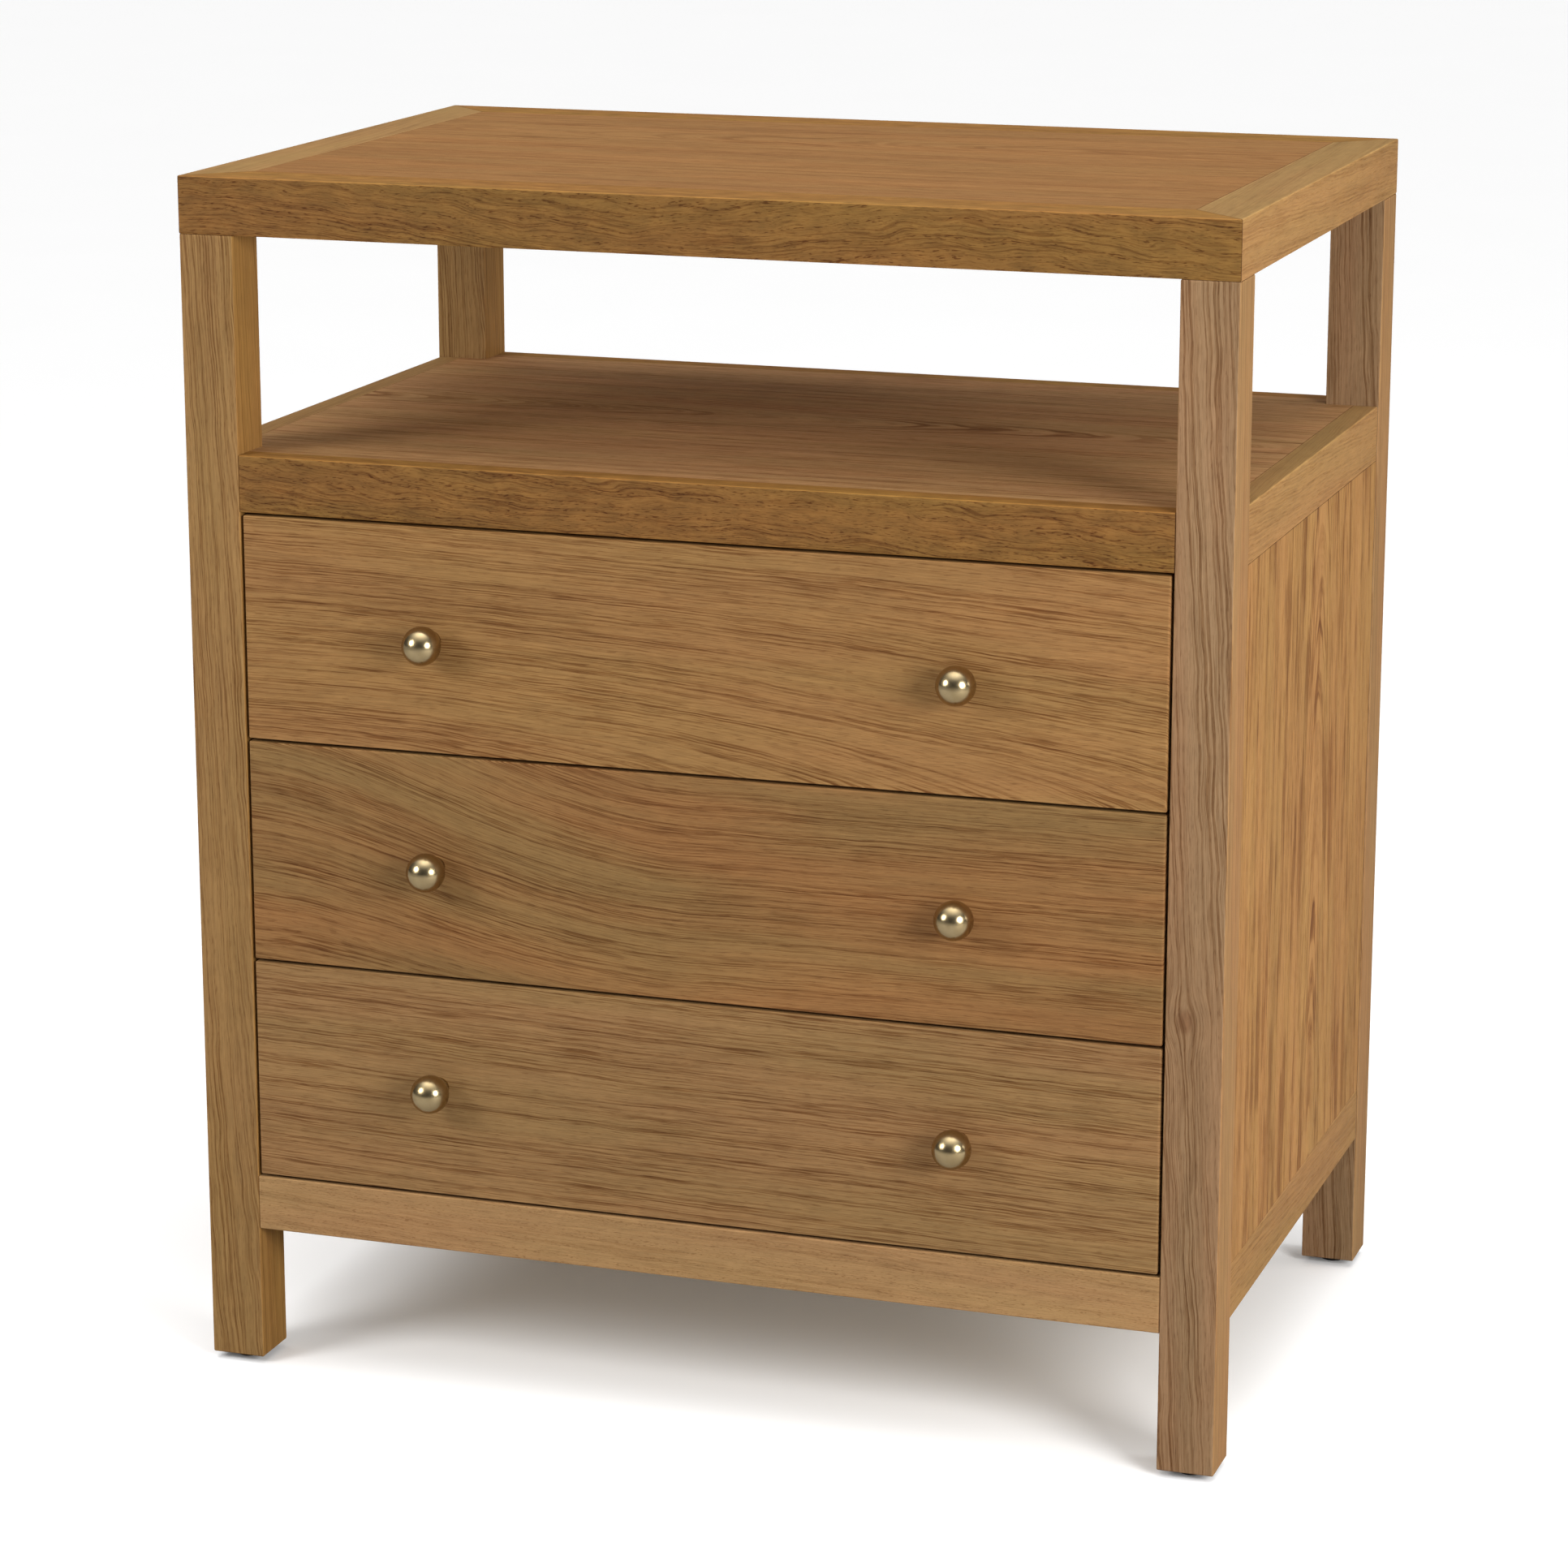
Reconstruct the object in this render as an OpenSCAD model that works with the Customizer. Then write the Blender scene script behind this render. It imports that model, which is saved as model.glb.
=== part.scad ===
// Three-drawer chest with an open shelf bay under a thick framed top.
// Origin: middle of the overall footprint, knobs included, on the floor.
// X runs to the right as the drawers are faced, Y runs to the back and Z runs up.

/* [Overall] */
// Width over the legs
width = 711; // [600:1:900]
// Depth over the legs, without the knobs
depth = 470; // [440:1:600]
// Height from the floor to the top
height = 820; // [760:1:1000]

/* [Frame] */
// Side of each square leg
leg = 38; // [34:1:50]
// Height of the top slab's edge and of every rail
rail_h = 38; // [34:1:50]
// Thickness of the shelf and bottom rails
rail_t = 17; // [15:1:22]
// Visible width of the mitred frame round the top panel
top_strip = 38; // [30:1:60]
// Height of the open bay over the shelf
bay_h = 145; // [100:1:180]
// Clear height under the bottom rails, above the glides
foot_h = 94; // [60:1:120]
// How far the side rails and side panels lie inside the legs' faces
side_set = 1; // [0:0.5:3]

/* [Panels] */
// Thickness of the top panel and of the shelf panel
panel_t = 18; // [16:1:22]
// Thickness of the side panels
side_t = 14; // [12:1:16]
// Thickness of the back panel
back_t = 8; // [6:1:9]
// Thickness of the dust panel and of the drawer bottoms
thin_t = 6; // [4:1:8]
// Thickness of the tongues on the panels' edges
tongue_t = 6; // [4:1:8]
// How far a panel's tongue enters its groove
tongue_l = 6; // [4:1:8]

/* [Drawers] */
// Gap round each drawer front
gap = 2; // [1.5:0.5:3]
// Thickness of the drawer fronts
front_t = 20; // [18:1:22]
// Length of a drawer box behind its front
box_l = 410; // [402:1:412]
// Height of a drawer box's sides
box_h = 112; // [90:1:118]
// Thickness of the drawer sides and backs
box_t = 12; // [12:1:15]
// Height of a drawer box above its front's lower edge
box_up = 14; // [10:1:16]
// Depth of the housings that hold the drawer sides and bottoms
housing = 6; // [4:1:6]

/* [Runners] */
// Thickness of a telescopic runner
runner_t = 12.5; // [12.5:0.1:13]
// Height of a telescopic runner
runner_h = 45; // [44:1:46]
// Length of each runner member
runner_l = 400; // [350:1:402]

/* [Hardware] */
// Diameter of a ball knob
knob_d = 26; // [22:1:32]
// How far a knob stands out from its drawer front
knob_reach = 30; // [28:1:34]
// Distance of each knob from the middle of its drawer
knob_x = 182; // [120:1:240]
// Diameter of a glide under a leg
glide_d = 19; // [16:1:30]
// Thickness of a glide
glide_h = 5; // [3:1:8]
// Diameter of the dowels in the frame's joints
dowel_d = 6; // [5:1:6]
// Length of the dowels
dowel_l = 36; // [30:1:40]

/* [Hidden] */
DRAWER_PARTS = [
    "front", "left_side", "right_side", "back", "bottom",
    "left_knob", "right_knob", "screws", "runner_members"
];

$fn = 64;

// Colours
oak = "#a97c4c";
oak_front = "#94693c";
oak_panel = "#a5774a";
box_wood = "#d3b98c";
beech = "#c9a06a";
brass = "#c9a35a";
steel = "#b4b8bb";
black_plastic = "#1c1c1c";

LEFT = -1;
RIGHT = 1;
FRONT = -1;
BACK = 1;
drawers = 3;

// Faces and levels of the frame
half_w = width / 2;
front_y = (knob_reach - depth) / 2;
back_y = front_y + depth;
leg_in_x = half_w - leg;
leg_in_front = front_y + leg;
leg_in_back = back_y - leg;
side_x = half_w - side_set;
rail_in_x = side_x - rail_t;

z_leg = glide_h;
z_rail = z_leg + foot_h;
z_zone = z_rail + rail_h;
z_top = height - rail_h;
z_bay = z_top - bay_h;
z_shelf = z_bay - rail_h;
zone_h = z_shelf - z_zone;

// Panels
side_tongue_x = side_x - (side_t + tongue_t) / 2;
back_panel_y = back_y - (rail_t + back_t) / 2;
dust_z = z_rail + (rail_h - thin_t) / 2;

// Drawers
front_w = 2 * leg_in_x - 2 * gap;
front_h = (zone_h - (drawers + 1) * gap) / drawers;
box_x = leg_in_x - runner_t;
box_front_y = front_y + front_t;
box_back_y = box_front_y + box_l;
bottom_up = 10;

// Runner section, measured from the cabinet's side towards the drawer
sheet = 1.2;
member_step = 0.6;
middle_in = sheet + member_step;
flange_d = runner_t - 2 * middle_in;
race = 3.3;
middle_h = runner_h - 2 * sheet - 2 * race;
inner_h = middle_h - 2 * sheet - 2 * race;
cage_gap = 0.3;
cage_l = 150;
cage_w = 4;
cage_end = 25;
runner_y = box_front_y + gap;
batten_h = runner_h;

// Screws
runner_screw_r = 1.75;
runner_screw_l = 15;
runner_screw_y = [9, 130, 330];
member_screw_r = 1.6;
member_screw_l = 10;
member_screw_y = [45, 320];
screw_head_h = 1.7;
knob_screw_r = 2;
knob_screw_in = 12;
knob_screw_head_r = 4;
knob_screw_head_h = 2.5;
screw_play = 0.25;

// How far a drilled hole's cutter runs past each face
cut = 1;

// Knobs
knob_r = knob_d / 2;
knob_ball_y = knob_reach - knob_r;
knob_neck_r = 5;
knob_base_r = 7;
knob_base_h = 1.5;

// Glides
glide_edge = 1.2;
nail_r = 1.25;
nail_l = 18;

// Dowels
dowel_up = 8;
dowel_in = 7;
top_dowel_near = 11;
top_dowel_far = 27;

function drawer_z(n) = z_zone + gap + (drawers - n) * (front_h + gap);
function runner_z(n) = drawer_z(n) + box_up + box_h / 2;
function knob_z(n) = drawer_z(n) + front_h / 2;

// A board from its lowest corner to its highest one
module board(low, high) {
    translate(low) cube(high - low);
}

// A board on either side of the middle plane: x runs from x_in out to x_out
module side_board(side, x_in, x_out, low, high) {
    mirror([side < 0 ? 1 : 0, 0, 0])
        board([x_in, low[0], low[1]], [x_out, high[0], high[1]]);
}

// ---------------------------------------------------------------- hidden joints

// One dowel lying along X, Y or Z, centred on a point
module dowel(at, turn) {
    translate(at) rotate(turn) cylinder(d = dowel_d, h = dowel_l, center = true);
}

// The pairs of dowels that hold a rail level's four rails to the legs
module rail_dowels(z) {
    for (x_side = [LEFT, RIGHT], up = [-dowel_up, dowel_up]) {
        for (y = [front_y + dowel_in, back_y - dowel_in])
            dowel([x_side * leg_in_x, y, z + rail_h / 2 + up], [0, 90, 0]);
        for (y = [leg_in_front, leg_in_back])
            dowel([x_side * (side_x - dowel_in), y, z + rail_h / 2 + up], [90, 0, 0]);
    }
}

// Two upright dowels from each leg into the two top rails that meet over it
module top_dowels() {
    for (x_side = [LEFT, RIGHT], near = [true, false]) {
        in_x = near ? top_dowel_near : top_dowel_far;
        in_y = near ? top_dowel_far : top_dowel_near;
        for (y = [front_y + in_y, back_y - in_y])
            dowel([x_side * (half_w - in_x), y, z_top], [0, 0, 0]);
    }
}

module all_dowels() {
    rail_dowels(z_rail);
    rail_dowels(z_shelf);
    top_dowels();
}

// A countersunk screw along X: its head's face is at the origin and its tip points to +X
module flat_screw(r, l) {
    rotate([0, 90, 0]) {
        cylinder(r1 = 2 * r, r2 = r, h = screw_head_h);
        cylinder(r = r, h = l);
    }
}

// The screws that hold the cabinet members of every runner to the legs and battens
module cabinet_screws() {
    for (side = [0, 1], n = [1 : drawers], y = runner_screw_y)
        mirror([side, 0, 0])
            translate([leg_in_x - sheet, runner_y + y, runner_z(n)])
                flat_screw(runner_screw_r, runner_screw_l);
}

// The screws that hold one drawer's runner members to its sides
module member_screws(n) {
    for (side = [0, 1], y = member_screw_y)
        mirror([side, 0, 0])
            translate([box_x + sheet, box_front_y + y, runner_z(n)])
                rotate([0, 0, 180])
                    flat_screw(member_screw_r, member_screw_l);
}

// ---------------------------------------------------------------- panels

// A panel's tongue all round, as a plate that reaches into the grooves
module top_tongue() {
    board([-half_w + top_strip - tongue_l, front_y + top_strip - tongue_l, height - (panel_t + tongue_t) / 2],
          [half_w - top_strip + tongue_l, back_y - top_strip + tongue_l, height - (panel_t - tongue_t) / 2]);
}

module top_panel_shape() {
    board([-half_w + top_strip, front_y + top_strip, height - panel_t],
          [half_w - top_strip, back_y - top_strip, height]);
    top_tongue();
}

// A cross-shaped plate that fits between the four legs and out to the rails
module cross_plate(grow, z_low, z_high) {
    board([-rail_in_x - grow, leg_in_front, z_low], [rail_in_x + grow, leg_in_back, z_high]);
    board([-leg_in_x, front_y + rail_t - grow, z_low], [leg_in_x, back_y - rail_t + grow, z_high]);
}

module shelf_panel_shape() {
    cross_plate(0, z_bay - panel_t, z_bay);
    cross_plate(tongue_l, z_bay - (panel_t + tongue_t) / 2, z_bay - (panel_t - tongue_t) / 2);
}

module dust_panel_shape() {
    cross_plate(tongue_l, dust_z, dust_z + thin_t);
}

module side_panel_shape(side) {
    side_board(side, side_x - side_t, side_x, [leg_in_front, z_zone], [leg_in_back, z_shelf]);
    side_board(side, side_tongue_x, side_tongue_x + tongue_t,
               [leg_in_front - tongue_l, z_zone - tongue_l], [leg_in_back + tongue_l, z_shelf + tongue_l]);
}

module back_panel_shape() {
    board([-leg_in_x - tongue_l, back_panel_y, z_zone - tongue_l],
          [leg_in_x + tongue_l, back_panel_y + back_t, z_shelf + tongue_l]);
}

module top_panel() {
    color(oak_panel) top_panel_shape();
}

module shelf_panel() {
    color(oak_panel) shelf_panel_shape();
}

module dust_panel() {
    color(box_wood) dust_panel_shape();
}

module side_panel(side) {
    color(oak_panel) side_panel_shape(side);
}

module back_panel() {
    color(oak_panel) back_panel_shape();
}

// ---------------------------------------------------------------- top frame

// One mitred rail of the top, drawn along its outer edge
module top_rail(outline) {
    color(oak) difference() {
        translate([0, 0, z_top]) linear_extrude(rail_h) polygon(outline);
        top_tongue();
        top_dowels();
    }
}

// The front or back rail of the top
module top_cross_rail(end) {
    outer_y = end == FRONT ? front_y : back_y;
    inner_y = outer_y - end * top_strip;
    top_rail([[-half_w, outer_y], [half_w, outer_y], [half_w - top_strip, inner_y], [-half_w + top_strip, inner_y]]);
}

// The left or right rail of the top
module top_side_rail(side) {
    outer_x = side * half_w;
    inner_x = side * (half_w - top_strip);
    top_rail([[outer_x, front_y], [outer_x, back_y], [inner_x, back_y - top_strip], [inner_x, front_y + top_strip]]);
}

// ---------------------------------------------------------------- legs and rails

module leg_post(side, end) {
    y = end == FRONT ? front_y : leg_in_back;
    color(oak) difference() {
        side_board(side, leg_in_x, half_w, [y, z_leg], [y + leg, z_top]);
        side_panel_shape(side);
        if (end == BACK) back_panel_shape();
        all_dowels();
        cabinet_screws();
        glide_nail(side, end);
    }
}

// A rail between two legs at the front or the back
module cross_rail(end, z) {
    y = end == FRONT ? front_y : back_y - rail_t;
    color(oak_front) difference() {
        board([-leg_in_x, y, z], [leg_in_x, y + rail_t, z + rail_h]);
        shelf_panel_shape();
        dust_panel_shape();
        if (end == BACK) back_panel_shape();
        rail_dowels(z);
    }
}

// A rail between the front and back legs on one side
module side_rail(side, z) {
    color(oak) difference() {
        side_board(side, rail_in_x, side_x, [leg_in_front, z], [leg_in_back, z + rail_h]);
        shelf_panel_shape();
        dust_panel_shape();
        side_panel_shape(side);
        rail_dowels(z);
    }
}

module frame_dowels() {
    color(beech) all_dowels();
}

// ---------------------------------------------------------------- glides

module at_leg(side, end) {
    translate([side * (half_w - leg / 2), end == FRONT ? front_y + leg / 2 : back_y - leg / 2, 0]) children();
}

module glide_nail(side, end) {
    at_leg(side, end) cylinder(r = nail_r, h = glide_h + nail_l);
}

// A round pad with an eased lower edge and a nail up into the leg
module leg_glides() {
    color(black_plastic) for (side = [LEFT, RIGHT], end = [FRONT, BACK]) {
        at_leg(side, end) {
            cylinder(r1 = glide_d / 2 - glide_edge, r2 = glide_d / 2, h = glide_edge);
            translate([0, 0, glide_edge]) cylinder(d = glide_d, h = glide_h - glide_edge);
        }
        glide_nail(side, end);
    }
}

// ---------------------------------------------------------------- runners

// Battens that bring the cabinet's sides flush with the legs behind each runner
module runner_battens() {
    color(beech) difference() {
        for (side = [LEFT, RIGHT], n = [1 : drawers])
            side_board(side, leg_in_x, side_x - side_t,
                       [leg_in_front, runner_z(n) - batten_h / 2], [leg_in_back, runner_z(n) + batten_h / 2]);
        cabinet_screws();
    }
}

// A folded channel along Y at one runner: its web is at depth web_at and its flanges run from depth low to high
module channel(n, y, tall, web_at, low, high) {
    for (side = [LEFT, RIGHT]) {
        side_board(side, leg_in_x - web_at - sheet, leg_in_x - web_at,
                   [y, runner_z(n) - tall / 2], [y + runner_l, runner_z(n) + tall / 2]);
        for (up = [-tall / 2, tall / 2 - sheet])
            side_board(side, leg_in_x - high, leg_in_x - low,
                       [y, runner_z(n) + up], [y + runner_l, runner_z(n) + up + sheet]);
    }
}

// The members screwed to the cabinet, one at each side of a drawer
module cabinet_members(n) {
    color(steel) difference() {
        channel(n, runner_y, runner_h, 0, 0, middle_in + flange_d);
        cabinet_screws();
    }
}

// A ball cage's bar between two flanges, starting at y along the runner
module cage(n, y, low, high) {
    for (side = [LEFT, RIGHT])
        side_board(side, leg_in_x - middle_in - sheet - cage_w, leg_in_x - middle_in - sheet,
                   [runner_y + y, runner_z(n) + low], [runner_y + y + cage_l, runner_z(n) + high]);
}

// The members between cabinet and drawer, with the ball cages that ride on their flanges.
// The outer cages sit towards the back and the inner ones towards the front, so that
// they stay between their flanges when the runner is drawn out.
module middle_members(n) {
    outer_y = runner_l - cage_l - cage_end;
    color(steel) {
        channel(n, runner_y, middle_h, middle_in, middle_in, middle_in + flange_d);
        cage(n, outer_y, middle_h / 2, runner_h / 2 - sheet - cage_gap);
        cage(n, outer_y, -runner_h / 2 + sheet + cage_gap, -middle_h / 2);
        cage(n, cage_end, inner_h / 2 + cage_gap, middle_h / 2 - sheet);
        cage(n, cage_end, -middle_h / 2 + sheet, -inner_h / 2 - cage_gap);
    }
}

// The members screwed to the drawer's sides
module drawer_members(n) {
    color(steel) difference() {
        channel(n, box_front_y, inner_h, runner_t - sheet, middle_in + sheet + member_step, runner_t);
        member_screws(n);
    }
}

module runner_screws() {
    color(steel) cabinet_screws();
}

// ---------------------------------------------------------------- drawers

module drawer_bottom_shape(n) {
    z = drawer_z(n) + box_up + bottom_up;
    board([-box_x + box_t - housing, box_front_y - housing, z],
          [box_x - box_t + housing, box_back_y, z + thin_t]);
}

module drawer_side_shape(n, side) {
    z = drawer_z(n) + box_up;
    side_board(side, box_x - box_t, box_x, [box_front_y - housing, z], [box_back_y, z + box_h]);
}

module drawer_front(n) {
    color(oak_front) difference() {
        board([-front_w / 2, front_y, drawer_z(n)], [front_w / 2, box_front_y, drawer_z(n) + front_h]);
        drawer_bottom_shape(n);
        drawer_side_shape(n, LEFT);
        drawer_side_shape(n, RIGHT);
        for (side = [LEFT, RIGHT])
            translate([side * knob_x, front_y - cut, knob_z(n)])
                rotate([-90, 0, 0])
                    cylinder(r = knob_screw_r + screw_play, h = front_t + 2 * cut);
    }
}

module drawer_side(n, side) {
    color(box_wood) difference() {
        drawer_side_shape(n, side);
        drawer_bottom_shape(n);
        member_screws(n);
    }
}

module drawer_back(n) {
    color(box_wood)
        board([-box_x + box_t, box_back_y - box_t, drawer_z(n) + box_up + bottom_up + thin_t],
              [box_x - box_t, box_back_y, drawer_z(n) + box_up + box_h]);
}

module drawer_bottom(n) {
    color(box_wood) drawer_bottom_shape(n);
}

// The shaft of a knob's screw, from inside the drawer into the knob
module knob_screw_shaft(n, side) {
    translate([side * knob_x, front_y - knob_screw_in, knob_z(n)])
        rotate([-90, 0, 0])
            cylinder(r = knob_screw_r, h = knob_screw_in + front_t);
}

// A ball on a short neck and a small round base
module knob(n, side) {
    color(brass) difference() {
        translate([side * knob_x, front_y, knob_z(n)]) {
            translate([0, -knob_ball_y, 0]) sphere(r = knob_r);
            rotate([90, 0, 0]) {
                cylinder(r = knob_neck_r, h = knob_ball_y);
                cylinder(r = knob_base_r, h = knob_base_h);
            }
        }
        knob_screw_shaft(n, side);
    }
}

module drawer_screws(n) {
    color(steel) {
        member_screws(n);
        for (side = [LEFT, RIGHT]) {
            knob_screw_shaft(n, side);
            translate([side * knob_x, box_front_y, knob_z(n)])
                rotate([-90, 0, 0])
                    cylinder(r = knob_screw_head_r, h = knob_screw_head_h);
        }
    }
}

// ---------------------------------------------------------------- the assembly

top_cross_rail(FRONT);  // top_front_rail
top_cross_rail(BACK);  // top_back_rail
top_side_rail(LEFT);  // top_left_rail
top_side_rail(RIGHT);  // top_right_rail
top_panel();
leg_post(LEFT, FRONT);  // leg_front_left
leg_post(RIGHT, FRONT);  // leg_front_right
leg_post(LEFT, BACK);  // leg_back_left
leg_post(RIGHT, BACK);  // leg_back_right
cross_rail(FRONT, z_shelf);  // shelf_front_rail
cross_rail(BACK, z_shelf);  // shelf_back_rail
side_rail(LEFT, z_shelf);  // shelf_left_rail
side_rail(RIGHT, z_shelf);  // shelf_right_rail
shelf_panel();
side_panel(LEFT);  // side_panel_left
side_panel(RIGHT);  // side_panel_right
back_panel();
dust_panel();
cross_rail(FRONT, z_rail);  // bottom_front_rail
cross_rail(BACK, z_rail);  // bottom_back_rail
side_rail(LEFT, z_rail);  // bottom_left_rail
side_rail(RIGHT, z_rail);  // bottom_right_rail
leg_glides();
frame_dowels();
runner_battens();
runner_screws();
for (n = [1 : drawers]) {
    cabinet_members(n);
    middle_members(n);
    drawer_front(n);
    drawer_side(n, LEFT);
    drawer_side(n, RIGHT);
    drawer_back(n);
    drawer_bottom(n);
    knob(n, LEFT);
    knob(n, RIGHT);
    drawer_screws(n);
    drawer_members(n);
}
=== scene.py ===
"""The looks of a three-drawer oak chest with an open shelf bay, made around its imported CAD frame.

Everything is in metres in the row frame: +X to the right as the drawers are faced, +Y to the back
and +Z up. Every wooden piece keeps its CAD mesh. Modifiers ease its edges, and its material is cut
from a block of wood of its own, with growth rings, pores and fibres that run along its length.
"""

import math
import random
from collections import Counter

import bpy
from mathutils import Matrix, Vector


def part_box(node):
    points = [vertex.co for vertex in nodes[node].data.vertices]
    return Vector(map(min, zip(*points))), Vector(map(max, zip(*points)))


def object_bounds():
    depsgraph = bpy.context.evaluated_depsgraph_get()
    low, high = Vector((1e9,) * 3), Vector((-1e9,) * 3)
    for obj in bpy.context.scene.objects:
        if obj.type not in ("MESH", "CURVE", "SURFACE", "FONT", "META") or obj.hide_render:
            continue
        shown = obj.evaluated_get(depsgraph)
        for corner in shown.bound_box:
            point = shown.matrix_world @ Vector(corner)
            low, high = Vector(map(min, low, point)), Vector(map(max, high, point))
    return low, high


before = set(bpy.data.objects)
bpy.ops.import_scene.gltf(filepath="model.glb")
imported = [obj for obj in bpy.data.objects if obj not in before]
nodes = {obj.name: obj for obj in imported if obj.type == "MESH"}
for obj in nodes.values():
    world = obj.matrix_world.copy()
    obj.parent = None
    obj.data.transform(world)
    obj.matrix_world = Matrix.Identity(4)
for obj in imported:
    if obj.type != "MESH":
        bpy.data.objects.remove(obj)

cad_low, cad_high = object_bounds()

MM = 0.001
X, Y, Z = 0, 1, 2
DRAWERS = (1, 2, 3)
SIDES = {"left": -1, "right": 1}
ENDS = {"front": -1, "back": 1}
WHITE = (1, 1, 1)
HALF = (0.5, 0.5, 0.5)


# ------------------------------------------------------------------ camera and lights

CAMERA_AT = (1.0041, -3.0055, 1.1806)
CAMERA_TURN = math.radians(18.68)
CAMERA_DOWN = math.radians(14.06)
LENS_MM = 108.06
SENSOR_MM = 36

# Each light's direction from the chest, distance, radius and power in watts.
LIGHTS = {
    "right_light": ((0.76, -0.58, 0.27), 2.4, 0.50, 47),
    "left_light": ((-0.60, -0.69, 0.38), 2.4, 0.48, 26),
    "side_light": ((1.0, 0.25, 0.25), 3.2, 0.80, 30),
}


def make_camera():
    data = bpy.data.cameras.new("camera")
    data.lens = LENS_MM
    data.sensor_width = SENSOR_MM
    camera = bpy.data.objects.new("camera", data)
    camera.location = CAMERA_AT
    camera.rotation_euler = (math.pi / 2 - CAMERA_DOWN, 0, CAMERA_TURN)
    bpy.context.scene.collection.objects.link(camera)
    bpy.context.scene.camera = camera


def make_light(name, direction, distance, radius, power):
    """A round soft light that shines at the middle of the chest."""
    middle = (cad_low + cad_high) / 2
    data = bpy.data.lights.new(name, "AREA")
    data.shape = "DISK"
    data.size = 2 * radius
    data.energy = power
    light = bpy.data.objects.new(name, data)
    light.location = middle + Vector(direction).normalized() * distance
    light.rotation_euler = Vector(direction).to_track_quat("Z", "Y").to_euler()
    bpy.context.scene.collection.objects.link(light)


# ------------------------------------------------------------------ shader graphs


def colour(code):
    """Linear RGB from an sRGB code such as #a27748."""
    values = [int(code[i : i + 2], 16) / 255 for i in (1, 3, 5)]
    return tuple(v / 12.92 if v <= 0.04045 else ((v + 0.055) / 1.055) ** 2.4 for v in values)


class Graph:
    """Adds nodes to one node tree. A method takes sockets or plain values and returns a socket."""

    def __init__(self, tree):
        self.tree = tree
        self.tree.nodes.clear()

    def put(self, socket, value):
        if isinstance(value, bpy.types.NodeSocket):
            self.tree.links.new(value, socket)
        elif socket.type == "RGBA":
            socket.default_value = (*value, 1)
        else:
            socket.default_value = value

    def node(self, kind, inputs, **settings):
        node = self.tree.nodes.new(kind)
        for name, value in settings.items():
            setattr(node, name, value)
        for key, value in inputs.items():
            self.put(node.inputs[key], value)
        return node

    def place(self):
        return self.node("ShaderNodeTexCoord", {}).outputs["Object"]

    def facing(self):
        return self.node("ShaderNodeTexCoord", {}).outputs["Normal"]

    def camera_sees(self):
        return self.node("ShaderNodeLightPath", {}).outputs["Is Camera Ray"]

    def split(self, vector):
        return self.node("ShaderNodeSeparateXYZ", {0: vector}).outputs

    def join(self, x, y, z):
        return self.node("ShaderNodeCombineXYZ", {0: x, 1: y, 2: z}).outputs[0]

    def math(self, operation, a, b=0.0, clamp=False):
        return self.node("ShaderNodeMath", {0: a, 1: b}, operation=operation, use_clamp=clamp).outputs[0]

    def plus(self, a, b):
        return self.math("ADD", a, b)

    def minus(self, a, b):
        return self.math("SUBTRACT", a, b)

    def times(self, a, b):
        return self.math("MULTIPLY", a, b)

    def over(self, a, b):
        return self.math("DIVIDE", a, b)

    def absolute(self, value):
        return self.math("ABSOLUTE", value)

    def vector(self, operation, a, b=(0, 0, 0)):
        return self.node("ShaderNodeVectorMath", {0: a, 1: b}, operation=operation).outputs[0]

    def length(self, vector):
        return self.node("ShaderNodeVectorMath", {0: vector}, operation="LENGTH").outputs["Value"]

    def noise_outputs(self, vector, stretch, detail, rough):
        scaled = self.vector("MULTIPLY", vector, stretch)
        inputs = {"Vector": scaled, "Scale": 1.0, "Detail": detail, "Roughness": rough}
        return self.node("ShaderNodeTexNoise", inputs).outputs

    def noise(self, vector, stretch, detail=1.0, rough=0.5):
        """Smooth noise from 0 to 1. stretch is how many features a metre holds along each axis."""
        return self.noise_outputs(vector, stretch, detail, rough)[0]

    def stray(self, vector, stretch):
        """Three independent smooth noises from -0.5 to 0.5, as a vector."""
        return self.vector("SUBTRACT", self.noise_outputs(vector, stretch, 1.0, 0.5)[1], HALF)

    def noise_along(self, value):
        """Smooth noise from 0 to 1 that depends on one number."""
        inputs = {"W": value, "Scale": 1.0, "Detail": 1.0, "Roughness": 0.5}
        return self.node("ShaderNodeTexNoise", inputs, noise_dimensions="1D").outputs[0]

    def ramp(self, value, low, high, to_low=0.0, to_high=1.0):
        """value's range from low to high, turned smoothly into to_low to to_high."""
        inputs = {0: value, 1: low, 2: high, 3: to_low, 4: to_high}
        return self.node("ShaderNodeMapRange", inputs, interpolation_type="SMOOTHSTEP").outputs[0]

    def mix(self, share, a, b, blend="MIX"):
        node = self.node("ShaderNodeMix", {0: share}, data_type="RGBA", blend_type=blend)
        self.put(node.inputs[6], a)
        self.put(node.inputs[7], b)
        return node.outputs[2]

    def darken(self, share, base, tint):
        return self.mix(share, base, tint, "MULTIPLY")

    def bump(self, height, depth, strength=1.0):
        inputs = {"Height": height, "Distance": depth, "Strength": strength}
        return self.node("ShaderNodeBump", inputs).outputs[0]


class Finish(Graph):
    """The graph of one material."""

    def __init__(self, name):
        self.material = bpy.data.materials.new(name)
        self.material.use_nodes = True
        super().__init__(self.material.node_tree)
        self.shader = self.node("ShaderNodeBsdfPrincipled", {})
        self.node("ShaderNodeOutputMaterial", {"Surface": self.shader.outputs["BSDF"]})

    def done(self, **sockets):
        """Sets the shader's own sockets, named with underscores, and returns the material."""
        for name, value in sockets.items():
            self.put(self.shader.inputs[name.replace("_", " ")], value)
        return self.material


def paint(node, material):
    nodes[node].material_slots[0].material = material


# ------------------------------------------------------------------ wood

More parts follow.
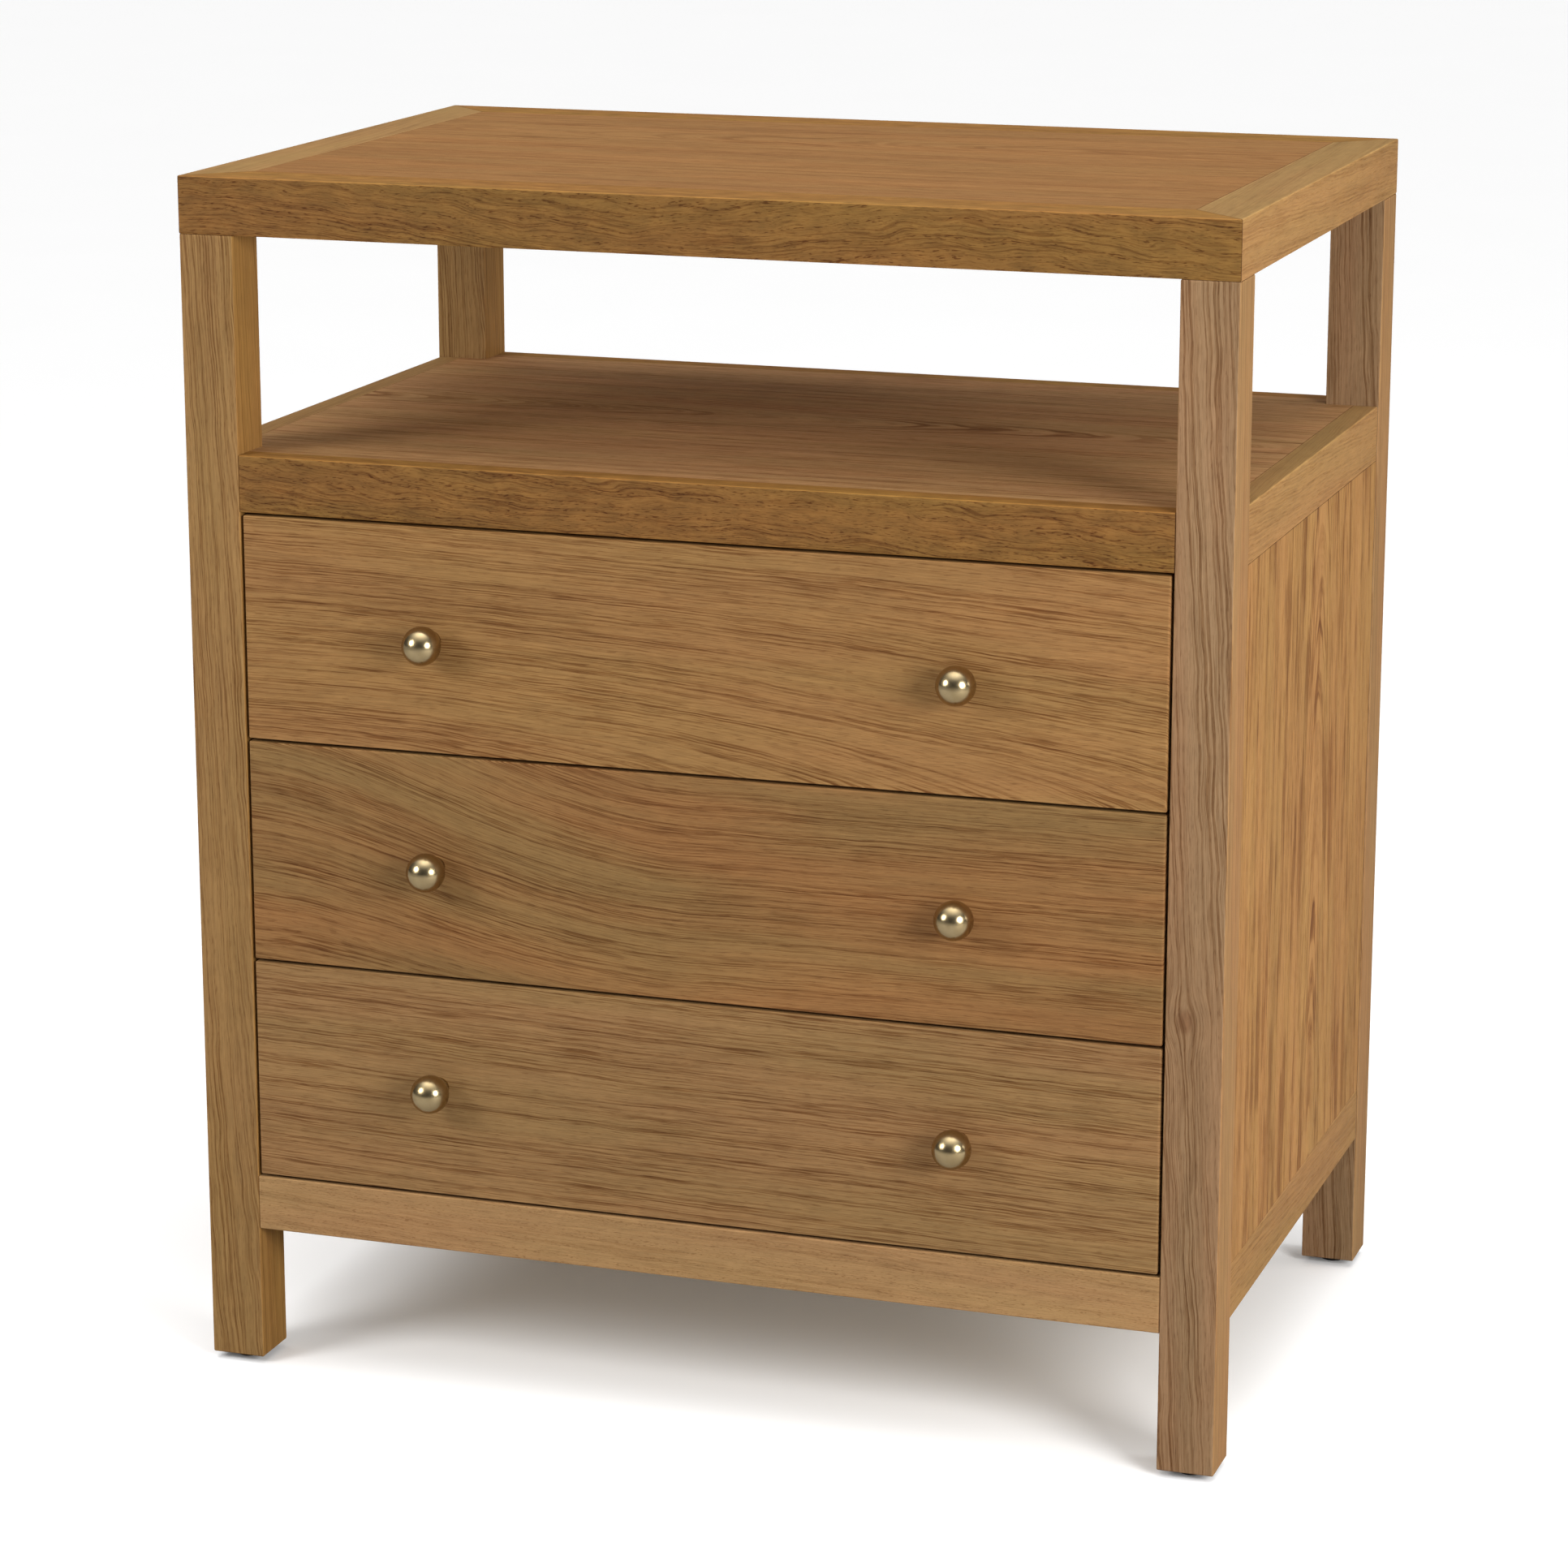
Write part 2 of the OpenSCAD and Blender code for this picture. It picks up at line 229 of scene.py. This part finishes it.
# How a piece lies in the chest: the axes along its grain, across it and into its depth.
WIDE = (X, Z, Y)      # a rail or drawer front, seen from the front
LYING = (X, Y, Z)     # a panel seen from above
STANDING = (Z, X, Y)  # a post, or a panel seen from behind
SIDEWAYS = (Z, Y, X)  # an upright panel seen from the side
INWARD = (Y, Z, X)    # a rail that runs from front to back, seen from the side

# How a piece of oak was cut and what shows on it. Places and widths are in metres. A place is
# given along the grain, across it and deep, from the middle of the piece.
OAK = {
    "ring": 1.7 * MM,        # width of a growth ring
    "pith": (0.09, 0.10),    # where the middle of the tree lies, across and deep
    "lean": (0.01, 0.03),    # how fast the pith moves across and deep along the grain
    "wave": 3 * MM,          # how far the grain wanders over a few decimetres
    "ripple": 0.5 * MM,      # how far it wanders over a few centimetres
    "sweep": None,           # a bend at one end: how far, and from where to where along the grain
    "knot": None,            # the place of a small knot
    "lines": 0.60,           # strength of the growth rings
    "dashes": 1.0,           # strength of the long dark dashes between them
    "pores": 0.40,           # strength of the open pores
    "pore": (9 * MM, 0.9 * MM),  # length and width of a pore
    "streaks": 0.15,         # strength of the broad tapered streaks
    "streak": (200 * MM, 15 * MM),  # length and width of a streak
    "patches": 0.18,         # strength of the slow light and dark patches
    "mottle": 0.12,          # strength of the cloudy figure
    "fibre": 0.28,           # strength of the finest lines
    "joint": None,           # where it meets its neighbours, darkened there with painted shade: at its "ends", "mitres" or "tongues"
    "smooth": None,          # the axis of the faces with few marks, and their own tint, partly painted light and shade
    "line_tint": (0.60, 0.49, 0.38),
    "pore_tint": (0.50, 0.38, 0.30),
}
KNOT_SIZE = (9 * MM, 6 * MM, 12 * MM)
KNOT_TINT = (0.55, 0.36, 0.28)
KNOT_SHADE = 0.5
TONGUE = 6 * MM          # how far a panel reaches into the grooves round it
THICKEST_PANEL = 50 * MM
JOINT_SHADE_WIDTH = (0.2 * MM, 0.6 * MM)  # where the painted shade along a joint starts to fade, and its edge
# colour and strength of the painted shade in a joint
JOINT_SHADE_TINT = (0.25, 0.17, 0.12)
JOINT_SHADE = 0.75
EDGE_WEAR_AND_HIGHLIGHT_WIDTH = (0.8 * MM, 2.6 * MM)   # least and greatest width of a lightened edge, for wear and a painted highlight
# how much the edges are lightened: partly wear, partly a painted highlight
EDGE_WEAR_AND_HIGHLIGHT = 0.20
LACQUER_ROUGHNESS = 0.56
PORE_ROUGHNESS = 0.15    # added in the pores
FIBRE_ROUGHNESS = 0.2    # added by the fibres
LACQUER_SHINE = 0.14
PORE_DEPTH = 0.12 * MM


def inside(g, low, high):
    """How deep each place lies within a box, along x, y and z."""
    offset = g.vector("ABSOLUTE", g.vector("SUBTRACT", g.place(), (low + high) / 2))
    return g.split(g.vector("SUBTRACT", (high - low) / 2, offset))


def near_edges(g, node):
    """1 on the edges of a node's box and 0 a few millimetres inside them, over an uneven width: the band
    that wear and a painted highlight lighten.
    """
    x, y, z = inside(g, *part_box(node))
    nearer = g.math("MINIMUM", x, y)
    second = g.math("MAXIMUM", nearer, g.math("MINIMUM", g.math("MAXIMUM", x, y), z))
    reach = g.ramp(g.noise(g.place(), (90, 90, 90), detail=2), 0.35, 0.7, *EDGE_WEAR_AND_HIGHLIGHT_WIDTH)
    return g.math("SUBTRACT", 1.0, g.over(second, reach), clamp=True)


def joints(g, node, grain, kind):
    """How far each place on a piece is from the lines where it meets its neighbours."""
    low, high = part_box(node)
    if kind == "ends":
        return [inside(g, low, high)[grain]]
    if kind == "tongues":
        depth = inside(g, low, high)
        wide = [i for i in (X, Y, Z) if high[i] - low[i] > THICKEST_PANEL]
        return [g.absolute(g.minus(depth[i], TONGUE)) for i in wide]
    if kind == "mitres":
        depth = inside(g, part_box("top_left_rail")[0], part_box("top_right_rail")[1])
        return [g.absolute(g.minus(depth[X], depth[Y]))]
    return []


def board_space(g, node, axes, seed, look):
    """Places along the grain, across it and deep, bent by slow and quick wandering."""
    low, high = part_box(node)
    middle = [(low[i] + high[i]) / 2 for i in axes]
    xyz = g.split(g.place())
    board = g.vector("SUBTRACT", g.join(*(xyz[i] for i in axes)), middle)
    seeded = g.vector("ADD", board, seed)
    for reach, stretch in ((look["wave"], (2.2, 7, 7)), (look["ripple"], (28, 60, 60))):
        aside = g.vector("MULTIPLY", g.stray(seeded, stretch), (0, 4 * reach, 4 * reach))
        board = g.vector("ADD", board, aside)
    return g.split(board)


def swept(g, along, across, sweep):
    """Bends the grain away over one end of a piece, less and less towards its lower side."""
    reach, start, stop = sweep
    bend = g.times(g.ramp(along, start, stop, reach, 0.0), g.ramp(across, -0.20, 0.10))
    return g.minus(across, bend)


def knotted(g, along, across, deep, knot):
    """Leads the grain round a knot. Also gives how near the knot is, from 0 to 1."""
    away = [g.minus(place, centre) for place, centre in zip((along, across, deep), knot)]
    far = g.length(g.join(*(g.over(part, size) for part, size in zip(away, KNOT_SIZE))))
    pinch = g.ramp(far, 0.3, 3.2, 0.75, 0.0)
    return g.minus(across, g.times(away[1], pinch)), g.ramp(far, 1.15, 0.5)


def grown(g, along, across, deep, look, first):
    """The number of the growth ring at each place, round a pith that leans."""
    offsets = [g.plus(g.minus(place, start), g.times(along, lean))
               for place, start, lean in zip((across, deep), look["pith"], look["lean"])]
    radius = g.length(g.join(0.0, *offsets))
    return g.plus(g.over(radius, look["ring"]), first)


def marked(g, along, rings, place, look):
    """The marks of oak, each from 0 to 1, and the beds in which they are strong or weak.

    Threads and beds lie in the sheets between the rings, so they follow the figure of the wood:
    their sizes are in metres along the grain and in rings across it. The two limits of a ramp say
    how much of the wood a mark takes up, and how soft its edges are.
    """
    sheet = g.join(along, rings, 0.0)
    line = g.ramp(g.noise_along(rings), 0.52, 0.42)
    thread = g.noise(sheet, (20, 1.9, 1), detail=2, rough=0.6)
    length, width = look["pore"]
    pore = g.ramp(g.noise(place, (1 / length, 1 / width, 1 / width)), 0.54, 0.66)
    length, width = look["streak"]
    flame = g.noise(place, (2 / length, 2 / width, 2 / width), detail=2, rough=0.6)
    return {
        "lines": line,
        "dashes": g.ramp(thread, 0.49, 0.60),
        "streaks": g.ramp(g.plus(flame, g.times(thread, 0.3)), 0.65, 0.74),
        "pores": g.times(pore, g.plus(g.times(line, 0.6), 0.4)),
        "beds": g.ramp(g.noise(sheet, (3, 0.23, 1)), 0.34, 0.62, 0.25, 1.0),
    }


def smoothed_and_lit(g, marks, axis, tint):
    """Thins out the marks on the faces that look along an axis. Gives the tint of each face: partly the
    wood's own tone there, partly painted light and shade for how light falls on that facing.
    """
    turned = g.ramp(g.absolute(g.split(g.facing())[axis]), 0.3, 0.9)
    fewer = g.minus(1.0, g.times(turned, 0.7))
    for name in ("pores", "dashes"):
        marks[name] = g.times(marks[name], fewer)
    return g.mix(turned, WHITE, tint)


def oak_colour(g, place, marks, tones, look):
    """Two base tones in slow patches, darkened by each mark."""
    base = g.mix(g.ramp(g.noise(place, (4, 30, 30)), 0.3, 0.7), *tones)
    for name in ("lines", "dashes", "streaks"):
        shade = g.times(g.times(marks[name], marks["beds"]), look[name])
        base = g.darken(shade, base, look["line_tint"])
    return g.darken(g.times(marks["pores"], look["pores"]), base, look["pore_tint"])


def glow(g, node, place, fibre, look):
    """How much lighter or darker each place is than its colour, as a factor for each channel. The edges are
    lightened for wear and a painted highlight.
    """
    # Lighter edges: wear and a painted highlight.
    factor = g.times(near_edges(g, node), EDGE_WEAR_AND_HIGHLIGHT)
    figures = {
        "fibre": fibre,
        "patches": g.noise(place, (3, 26, 26), detail=2),
        "mottle": g.noise(place, (60, 140, 140), detail=2),
    }
    for name, figure in figures.items():
        factor = g.plus(factor, g.times(g.minus(figure, 0.5), 2 * look[name]))
    factor = g.plus(factor, 1.0)
    return g.join(factor, factor, factor)


def wood(node, axes, tones, **cut):
    """Gives a node its own piece of oak, with two base tones and its own changes to OAK."""
    look = {**OAK, **cut}
    g = Finish("wood_" + node)
    dice = random.Random(node)
    seed = [dice.uniform(-5, 5) for _ in range(3)]
    along, across, deep = board_space(g, node, axes, seed, look)
    if look["sweep"]:
        across = swept(g, along, across, look["sweep"])
    if look["knot"]:
        across, knot = knotted(g, along, across, deep, look["knot"])
    rings = grown(g, along, across, deep, look, dice.uniform(0, 400))
    place = g.vector("ADD", g.join(along, across, deep), seed)
    marks = marked(g, along, rings, place, look)
    tint = smoothed_and_lit(g, marks, *look["smooth"]) if look["smooth"] else WHITE
    fibre = g.noise(place, (22, 1500, 1500), detail=2, rough=0.65)

    base = oak_colour(g, place, marks, tones, look)
    if look["knot"]:
        base = g.darken(g.times(knot, KNOT_SHADE), base, KNOT_TINT)
    # Painted shade: a dark line along each joint, where the piece meets its neighbours.
    for distance in joints(g, node, axes[0], look["joint"]):
        base = g.darken(g.ramp(distance, *JOINT_SHADE_WIDTH, JOINT_SHADE, 0.0), base, JOINT_SHADE_TINT)
    # Each facing's tint is partly painted light and shade.
    base = g.vector("MULTIPLY", base, tint)
    base = g.vector("MULTIPLY", base, glow(g, node, place, fibre, look))

    # The lacquer is rougher and lower in the pores.
    rough = g.plus(g.times(marks["pores"], PORE_ROUGHNESS), g.times(fibre, FIBRE_ROUGHNESS))
    rough = g.plus(rough, LACQUER_ROUGHNESS)
    sunk = g.math("MAXIMUM", marks["pores"], g.times(marks["dashes"], 0.5))
    height = g.minus(g.times(fibre, 0.25), sunk)
    paint(node, g.done(Base_Color=base, Roughness=rough, Normal=g.bump(height, PORE_DEPTH, 0.7),
                       Specular_IOR_Level=LACQUER_SHINE))


# ------------------------------------------------------------------ metal and plastic


def polished_brass():
    g = Finish("polished_brass")
    place = g.place()
    smear = g.noise(place, (120, 120, 120), detail=3)
    scratch = g.noise(place, (300, 300, 2600), detail=2)
    tint = g.mix(g.ramp(smear, 0.3, 0.7), colour("#b29f7a"), colour("#a7936d"))
    rough = g.ramp(smear, 0.3, 0.7, 0.20, 0.27)
    return g.done(Base_Color=tint, Metallic=1.0, Roughness=rough, Normal=g.bump(scratch, 0.01 * MM, 0.3))


def zinc_plate():
    g = Finish("zinc_plate")
    place = g.place()
    spangle = g.noise(place, (180, 60, 180), detail=3)
    drawn = g.noise(place, (2200, 12, 2200), detail=2)
    tint = g.mix(g.ramp(spangle, 0.3, 0.7), colour("#b9bdc0"), colour("#9fa4a8"))
    rough = g.ramp(drawn, 0.3, 0.7, 0.26, 0.42)
    return g.done(Base_Color=tint, Metallic=1.0, Roughness=rough, Normal=g.bump(drawn, 0.02 * MM, 0.5))


def black_plastic():
    g = Finish("black_plastic")
    place = g.place()
    grain = g.noise(place, (1500, 1500, 1500), detail=2)
    dust = g.noise(place, (70, 70, 70), detail=3)
    tint = g.mix(g.ramp(dust, 0.45, 0.75), colour("#1b1a19"), colour("#34302c"))
    rough = g.ramp(grain, 0.3, 0.7, 0.5, 0.65)
    return g.done(Base_Color=tint, Roughness=rough, Normal=g.bump(grain, 0.05 * MM, 0.6))


# ------------------------------------------------------------------ eased edges

WIDEST_EDGE = 1.3 * MM  # the slab's lower edges and the legs' tops
EDGE = 1.1 * MM         # free edges
BOX_EDGE = 0.8 * MM     # edges of the drawer boxes
HIDDEN_EDGE = 0.5 * MM  # the back edges of a drawer front
BUTT = 0.25 * MM        # edges that lie against another piece
SEAM = 0.15 * MM        # edges that meet another piece flush
TOUCH = 0.01 * MM       # how near to a face of the box an edge counts as in it
SAME_POINT = 0.001 * MM
FLAT = math.radians(0.1)
EDGE_SEGMENTS = 3


def sharp_edges(mesh):
    """The edges used by one face. The CAD meshes are split wherever two faces meet at an angle."""
    uses = Counter(key for polygon in mesh.polygons for key in polygon.edge_keys)
    return [edge for edge in mesh.edges if uses[edge.key] == 1]


def ease(node, sizes, seams=()):
    """Rounds the edges of a node's box by modifiers.

    sizes gives each face of the box, as (axis, side), the roundness of its edges; an edge takes
    the lesser of its two faces. An edge inside a face of seams gets a hairline chamfer.
    """
    piece = nodes[node]
    mesh = piece.data
    low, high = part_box(node)
    limits = [(axis, side, limit[axis]) for axis in (X, Y, Z) for side, limit in ((-1, low), (1, high))]
    weight = mesh.attributes.new("bevel_weight_edge", "FLOAT", "EDGE")
    for edge in sharp_edges(mesh):
        ends = [mesh.vertices[i].co for i in edge.vertices]
        faces = [(axis, side) for axis, side, limit in limits
                 if all(abs(end[axis] - limit) < TOUCH for end in ends)]
        if len(faces) > 1:
            weight.data[edge.index].value = min(sizes[face] for face in faces) / WIDEST_EDGE
        elif faces and faces[0] in seams:
            weight.data[edge.index].value = SEAM / WIDEST_EDGE
    weld = piece.modifiers.new("weld", "WELD")
    weld.merge_threshold = SAME_POINT
    flat = piece.modifiers.new("flat_faces", "DECIMATE")
    flat.decimate_type = "DISSOLVE"
    flat.angle_limit = FLAT
    bevel = piece.modifiers.new("eased_edges", "BEVEL")
    bevel.limit_method = "WEIGHT"
    bevel.width = WIDEST_EDGE
    bevel.segments = EDGE_SEGMENTS
    bevel.use_clamp_overlap = False


def box_sizes(x=(BUTT, BUTT), y=(BUTT, BUTT), z=(BUTT, BUTT)):
    """The sizes of a box's faces, from a low and a high one for each axis."""
    return {(axis, side): pair[side > 0] for axis, pair in ((X, x), (Y, y), (Z, z)) for side in (-1, 1)}


def outwards(side, inner):
    """The sizes of the low and high face of a piece that lies on that side of the chest."""
    return (inner, EDGE) if side > 0 else (EDGE, inner)


def ease_cabinet():
    for side_name, side in SIDES.items():
        for end_name in ENDS:
            ease(f"leg_{end_name}_{side_name}", box_sizes((EDGE, EDGE), (EDGE, EDGE), (EDGE, WIDEST_EDGE)))
        across = outwards(side, SEAM)
        ease(f"top_{side_name}_rail", box_sizes(across, (SEAM, SEAM), (WIDEST_EDGE, EDGE)), [(Z, 1)])
        ease(f"shelf_{side_name}_rail", box_sizes(across, z=(BUTT, EDGE)))
        ease(f"bottom_{side_name}_rail", box_sizes(across, z=(EDGE, BUTT)))
        ease(f"side_panel_{side_name}", box_sizes(), [(X, side)])
    for end_name, end in ENDS.items():
        across = outwards(end, SEAM)
        ease(f"top_{end_name}_rail", box_sizes((SEAM, SEAM), across, (WIDEST_EDGE, EDGE)), [(Z, 1)])
        for level in ("shelf", "bottom"):
            ease(f"{level}_{end_name}_rail", box_sizes(y=across, z=(EDGE, EDGE)))
    for level in ("top", "shelf"):
        ease(f"{level}_panel", box_sizes(), [(Z, 1)])


def ease_drawers():
    for n in DRAWERS:
        ease(f"drawer_{n}_front", box_sizes((EDGE, EDGE), (EDGE, HIDDEN_EDGE), (EDGE, EDGE)))
        for part in ("left_side", "right_side", "back"):
            ease(f"drawer_{n}_{part}", box_sizes((BOX_EDGE, BOX_EDGE), z=(BOX_EDGE, BOX_EDGE)))


# ------------------------------------------------------------------ finishes

# The two base tones of each kind of piece, before its marks darken them.
SLAB = colour("#765629"), colour("#775329")
LEFT_LEG = colour("#8b6c41"), colour("#8c6b42")
RIGHT_LEG = colour("#876c4e"), colour("#8a6a4c")
SIDE_RAIL = colour("#916e40"), colour("#936c40")
LOW_RAIL = colour("#98784f"), colour("#9a764f")
TOP = colour("#9b7142"), colour("#9d7041")
# The shelf's tones are lighter than the rest of the oak: painted light that lifts the shade in the bay under
# the slab.
SHELF_LIT = colour("#b78f5f"), colour("#ba8d5f")
SIDE = colour("#9c7542"), colour("#9e7342")
BACK = colour("#8a663d"), colour("#8c643d")
FRONT_1 = colour("#8c6a3f"), colour("#8e683f")
FRONT_2 = colour("#7f623b"), colour("#876039")
FRONT_3 = colour("#886a43"), colour("#8a6843")
BOX = colour("#d8c19a"), colour("#d6bc95")
BEECH = colour("#c9a06a"), colour("#c69b69")

JOINTS = {"top": "mitres", "shelf": "ends", "bottom": "ends"}

# Changes to OAK for groups of pieces.
# A "smooth" tint lightens or darkens whole facings: partly the wood's own tone, partly painted light and
# shade.
COARSE = {"lines": 0.3, "dashes": 0.8, "pores": 1.0, "pore": (5 * MM, 0.7 * MM), "mottle": 0.40,
          "ripple": 1.8 * MM, "wave": 9 * MM, "patches": 0.16, "smooth": (Z, (1.7, 1.68, 1.6))}
LEG = {"ring": 1.1 * MM, "lines": 0.8, "dashes": 0.65, "pore": (7 * MM, 0.8 * MM),
       "ripple": 0.7 * MM, "smooth": (X, (1.14, 1.04, 0.78)), "joint": "ends"}
INWARD_RAIL = {"lines": 0.25, "dashes": 0.4, "pores": 0.2, "smooth": (Z, (1.18, 1.27, 1.36))}
FLAMED = {"ring": 1.9 * MM, "dashes": 0.8, "streaks": 0.8, "streak": (230 * MM, 38 * MM),
          "line_tint": (0.60, 0.48, 0.36)}
PLAIN = {"lines": 0.15, "dashes": 0.12, "pores": 0.05, "streaks": 0.05}
RIGHT_LEG_KNOT = (-83 * MM, -7 * MM, -19 * MM)


def finish_frame():
    for end_name in ENDS:
        for level in ("top", "shelf"):
            wood(f"{level}_{end_name}_rail", WIDE, SLAB, joint=JOINTS[level], **COARSE)
        wood(f"bottom_{end_name}_rail", WIDE, LOW_RAIL, lines=0.15, dashes=0.3, pores=0.5,
             pore=(3 * MM, 0.6 * MM), joint=JOINTS["bottom"])
        wood(f"leg_{end_name}_left", STANDING, LEFT_LEG, **LEG)
        knot = RIGHT_LEG_KNOT if end_name == "front" else None
        wood(f"leg_{end_name}_right", STANDING, RIGHT_LEG, knot=knot, **LEG)
    for side_name in SIDES:
        for level, joint in JOINTS.items():
            wood(f"{level}_{side_name}_rail", INWARD, SIDE_RAIL, joint=joint, **INWARD_RAIL)


def finish_panels():
    for side_name, side in SIDES.items():
        wood(f"side_panel_{side_name}", SIDEWAYS, SIDE, pith=(0.03, -0.035 * side),
             lean=(0.02, 0.05 * side), joint="tongues", **FLAMED)
    wood("top_panel", LYING, TOP, lines=0.4, dashes=0.6, pores=0.3, joint="tongues")
    wood("shelf_panel", LYING, SHELF_LIT, pith=(0.02, -0.04), lean=(0.02, 0.05), dashes=0.8, streaks=0.3,
         joint="tongues")
    wood("back_panel", STANDING, BACK, pith=(0.03, -0.04), lean=(0.02, 0.05), lines=0.8, joint="tongues")
    wood("dust_panel", LYING, BOX, **PLAIN)


def finish_drawers():
    wood("drawer_1_front", WIDE, FRONT_1, pith=(-0.11, -0.06), lean=(0.0, 0.14))
    wood("drawer_2_front", WIDE, FRONT_2, pith=(-0.30, 0.10), sweep=(0.07, -0.32, 0.0))
    wood("drawer_3_front", WIDE, FRONT_3, pith=(0.30, 0.10), wave=2 * MM)
    for n in DRAWERS:
        for part, axes in (("left_side", INWARD), ("right_side", INWARD), ("back", WIDE), ("bottom", LYING)):
            wood(f"drawer_{n}_{part}", axes, BOX, **PLAIN)


def finish_hardware():
    for node in ("frame_dowels", "runner_battens"):
        wood(node, INWARD, BEECH, lines=0.1, dashes=0.1, pores=0.3, pore=(2 * MM, 0.4 * MM))
    brass, zinc = polished_brass(), zinc_plate()
    paint("leg_glides", black_plastic())
    paint("runner_screws", zinc)
    for n in DRAWERS:
        for side_name in SIDES:
            paint(f"drawer_{n}_{side_name}_knob", brass)
        for node in (f"drawer_{n}_screws", f"drawer_{n}_runner_members",
                     f"runner_{n}_cabinet_members", f"runner_{n}_middle_members"):
            paint(node, zinc)


# ------------------------------------------------------------------ stage

FLOOR_RADIUS = 40.0
FLOOR_SIDES = 48
FLOOR_BOUNCE = (0.43, 0.42, 0.41)  # its colour to light, which is darker than the camera sees it
FLOOR_LIFT = 0.07                  # glow that evens out its far parts for the camera
ROOM_HORIZON = 0.08
ROOM_CEILING = 3.6
ROOM_STEEPNESS = 6.0


def make_floor():
    """A wide pale disc, which can be seen through from below."""
    mesh = bpy.data.meshes.new("floor")
    angles = (math.tau * i / FLOOR_SIDES for i in range(FLOOR_SIDES))
    rim = [(math.cos(a) * FLOOR_RADIUS, math.sin(a) * FLOOR_RADIUS, 0) for a in angles]
    mesh.from_pydata(rim, [], [range(FLOOR_SIDES)])
    floor = bpy.data.objects.new("floor", mesh)
    bpy.context.scene.collection.objects.link(floor)
    g = Finish("floor")
    seen = g.camera_sees()
    underneath = g.node("ShaderNodeNewGeometry", {}).outputs["Backfacing"]
    cloud = g.noise(g.place(), (3, 3, 3), detail=2)
    pale = g.mix(cloud, (0.97, 0.97, 0.97), (0.99, 0.99, 0.99))
    material = g.done(Base_Color=g.mix(seen, FLOOR_BOUNCE, pale), Roughness=0.7, Emission_Color=WHITE,
                      Emission_Strength=g.times(seen, FLOOR_LIFT), Alpha=g.minus(1.0, underneath))
    mesh.materials.append(material)


def make_room():
    """A dim room that brightens steeply towards the ceiling, seen by the camera as plain white."""
    world = bpy.data.worlds.new("studio")
    bpy.context.scene.world = world
    world.use_nodes = True
    g = Graph(world.node_tree)
    direction = g.node("ShaderNodeTexCoord", {}).outputs["Generated"]
    steep = g.math("POWER", g.math("MAXIMUM", g.split(direction)[Z]), ROOM_STEEPNESS)
    strength = g.plus(g.times(steep, ROOM_CEILING - ROOM_HORIZON), ROOM_HORIZON)
    light = g.node("ShaderNodeBackground", {"Color": WHITE, "Strength": strength}).outputs[0]
    backdrop = g.node("ShaderNodeBackground", {"Color": WHITE}).outputs[0]
    mix = g.node("ShaderNodeMixShader", {0: g.camera_sees(), 1: light, 2: backdrop}).outputs[0]
    g.node("ShaderNodeOutputWorld", {"Surface": mix})


make_camera()
make_floor()
make_room()
for light_name, settings in LIGHTS.items():
    make_light(light_name, *settings)
ease_cabinet()
ease_drawers()
finish_frame()
finish_panels()
finish_drawers()
finish_hardware()
bpy.context.scene.view_settings.view_transform = "Standard"
